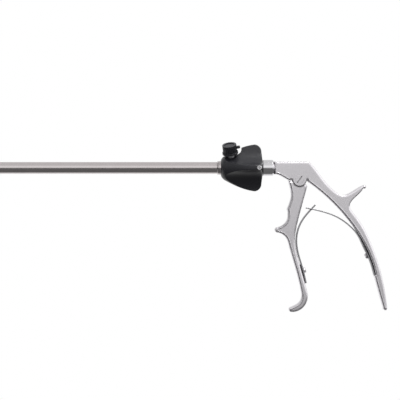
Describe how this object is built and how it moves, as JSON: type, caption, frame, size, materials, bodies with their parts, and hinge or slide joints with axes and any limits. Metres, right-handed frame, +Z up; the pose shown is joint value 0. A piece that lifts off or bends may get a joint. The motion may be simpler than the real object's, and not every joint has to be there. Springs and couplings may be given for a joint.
{
  "type": "surgical clip applier",
  "caption": "Hand-held clip applier for keyhole surgery, with a long turning shaft, a squeeze lever and a pair of jaws that close a ligating clip.",
  "frame": {"origin": "shaft axis at the front face of the nose ring, in front of the rotation knob", "axes": "-X along the shaft to the jaws, +Z up away from the handles, -Y the near side"},
  "size_m": [0.4722, 0.0396, 0.1433],
  "materials": {
    "satin_steel": "satin",
    "brushed_tube": "fine turned",
    "polished_steel": "polished",
    "spring_steel": "plain",
    "black_plastic": "fine matt",
    "seal_rubber": "matt",
    "bearing_plastic": "matt"
  },
  "bodies": {
    "handle_body": {"handle": "satin_steel", "collar": "polished_steel", "pivot_screw": "satin_steel", "rear_spring": "spring_steel", "rear_spring_screw": "satin_steel"},
    "rotator_body": {"outer_tube": "brushed_tube", "nose_ring": "brushed_tube", "fork": "brushed_tube", "jaw_pivot_pin": "satin_steel", "sleeve": "satin_steel", "rod_guide": "bearing_plastic", "rod_seal": "seal_rubber", "rotation_knob": "black_plastic", "grub_screw": "polished_steel", "port_neck": "polished_steel"},
    "cap_body": {"port_cap": "black_plastic", "port_gasket": "seal_rubber"},
    "lever_body": {"lever": "satin_steel", "front_spring": "spring_steel", "front_spring_screw": "satin_steel"},
    "rod_body": {"drive_rod": "satin_steel", "rod_blade": "satin_steel", "drive_pin": "satin_steel"},
    "jaw_upper_body": {"jaw_upper": "satin_steel"},
    "jaw_lower_body": {"jaw_lower": "satin_steel"}
  },
  "joints": [
    {"name": "shaft_turn", "type": "hinge", "parent": "handle_body", "child": "rotator_body", "pos_m": [0.02, 0, 0], "axis": [1, 0, 0], "continuous": true},
    {"name": "cap_lift", "type": "slide", "parent": "rotator_body", "child": "cap_body", "axis": [-0.1305, -0.4033, 0.9057], "range_m": [0, 0.04]},
    {"name": "lever_squeeze", "type": "hinge", "parent": "handle_body", "child": "lever_body", "pos_m": [0.0695, 0, -0.0097], "axis": [0, -1, 0], "range_deg": [0, 20], "stiffness_Nm_per_rad": 1.2, "springref_deg": -8.59, "deforming": ["front_spring", "rear_spring"]},
    {"name": "rod_push", "type": "slide", "parent": "rotator_body", "child": "rod_body", "axis": [-1, 0, 0], "range_m": [0, 0.00345]},
    {"name": "jaw_upper_close", "type": "hinge", "parent": "rotator_body", "child": "jaw_upper_body", "pos_m": [-0.308, 0, 0], "axis": [0, -1, 0], "range_deg": [0, 18.01]},
    {"name": "jaw_lower_close", "type": "hinge", "parent": "rotator_body", "child": "jaw_lower_body", "pos_m": [-0.308, 0, 0], "axis": [0, 1, 0], "range_deg": [0, 18.01]}
  ],
  "couplings": [
    {"joint": "rod_push", "follows": "lever_squeeze", "m_per_rad": 0.0097997},
    {"joint": "jaw_upper_close", "follows": "lever_squeeze", "ratio": 0.9},
    {"joint": "jaw_lower_close", "follows": "lever_squeeze", "ratio": 0.9}
  ]
}
